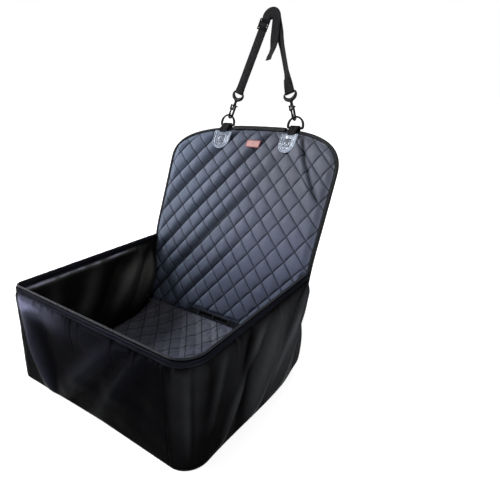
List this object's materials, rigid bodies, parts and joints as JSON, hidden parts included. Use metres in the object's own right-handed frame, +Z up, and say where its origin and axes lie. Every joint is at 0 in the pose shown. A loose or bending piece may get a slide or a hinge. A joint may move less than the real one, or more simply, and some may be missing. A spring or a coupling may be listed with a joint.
{
  "type": "dog car seat",
  "caption": "Soft dog car seat: a sewn open tub with quilted seat and folding quilted backrest, and a headrest strap clipped to two D-rings by swivel snap hooks.",
  "frame": {"origin": "middle of the whole seat's footprint, on the floor under the tub", "axes": "+X to the right of someone who looks at the front, -Y the front, +Z up"},
  "size_m": [0.5331, 0.6934, 0.7633],
  "materials": {
    "binding": "ribbed tape",
    "black_cloth": "satin woven",
    "black_metal": "satin coat",
    "black_plastic": "satin moulded",
    "coated_patch": "glossy coated",
    "label_cloth": "smooth tape",
    "lining_cloth": "matt woven",
    "non_slip_cloth": "matt, dotted with rubber",
    "quilted_cloth": "matt woven, quilted in diamonds",
    "spring_steel": "satin",
    "stiffener_board": "matt board",
    "webbing": "ribbed webbing"
  },
  "bodies": {
    "tub": {"base_underside": "non_slip_cloth", "base_board": "stiffener_board", "seat_quilt": "quilted_cloth", "crease_strip": "binding", "left_wall_outer": "black_cloth", "front_wall_outer": "black_cloth", "right_wall_outer": "black_cloth", "left_wall_lining": "lining_cloth", "front_wall_lining": "lining_cloth", "right_wall_lining": "lining_cloth", "left_wall_board": "stiffener_board", "front_wall_board": "stiffener_board", "right_wall_board": "stiffener_board", "rim_hem": "black_cloth", "rim_piping": "binding", "lower_back_quilt": "quilted_cloth", "lower_back_cloth": "non_slip_cloth", "lower_binding_left": "binding", "lower_binding_right": "binding"},
    "backrest": {"upper_back_quilt": "quilted_cloth", "upper_back_cloth": "non_slip_cloth", "upper_back_binding": "binding", "top_band": "binding", "label_patch": "label_cloth", "ring_patch_left": "coated_patch", "ring_patch_right": "coated_patch", "ring_tab_left": "webbing", "ring_tab_right": "webbing"},
    "ring_left": {"d_ring_left": "black_metal"},
    "ring_right": {"d_ring_right": "black_metal"},
    "strap": {"strap_webbing": "webbing", "slide_buckle": "black_plastic", "swivel_eye_left": "black_metal", "swivel_eye_right": "black_metal"},
    "hook_left": {"hook_body_left": "black_metal", "gate_pin_left": "spring_steel"},
    "hook_right": {"hook_body_right": "black_metal", "gate_pin_right": "spring_steel"},
    "gate_left": {"gate_left": "black_metal"},
    "gate_right": {"gate_right": "black_metal"}
  },
  "joints": [
    {"name": "backrest_fold", "type": "hinge", "parent": "tub", "child": "backrest", "pos_m": [0, 0.07889, 0.21799], "axis": [1, 0, 0], "range_deg": [-40, 110]},
    {"name": "ring_left_swing", "type": "hinge", "parent": "backrest", "child": "ring_left", "pos_m": [-0.116, 0.26696, 0.48134], "axis": [1, 0, 0], "range_deg": [-50, 70]},
    {"name": "ring_right_swing", "type": "hinge", "parent": "backrest", "child": "ring_right", "pos_m": [0.1, 0.26696, 0.48134], "axis": [1, 0, 0], "range_deg": [-50, 70]},
    {"name": "strap_swing", "type": "hinge", "parent": "ring_left", "child": "strap", "pos_m": [0, 0.27405, 0.50609], "axis": [1, 0, 0], "range_deg": [-25, 25]},
    {"name": "hook_left_swivel", "type": "hinge", "parent": "strap", "child": "hook_left", "pos_m": [-0.10877, 0.27405, 0.50609], "axis": [0.3362, 0.2596, 0.9053], "range_deg": [-15, 15]},
    {"name": "gate_left_open", "type": "hinge", "parent": "hook_left", "child": "gate_left", "pos_m": [-0.1023, 0.27194, 0.52556], "axis": [0.9418, -0.0927, -0.3232], "range_deg": [0, 25], "stiffness_Nm_per_rad": 0.02, "springref_deg": -17.19},
    {"name": "hook_right_swivel", "type": "hinge", "parent": "strap", "child": "hook_right", "pos_m": [0.09277, 0.27405, 0.50609], "axis": [-0.3362, 0.2596, 0.9053], "range_deg": [-15, 15]},
    {"name": "gate_right_open", "type": "hinge", "parent": "hook_right", "child": "gate_right", "pos_m": [0.0863, 0.27194, 0.52556], "axis": [0.9418, 0.0927, 0.3232], "range_deg": [0, 25], "stiffness_Nm_per_rad": 0.02, "springref_deg": -17.19}
  ],
  "couplings": [
    {"joint": "ring_right_swing", "follows": "ring_left_swing", "ratio": 1}
  ]
}
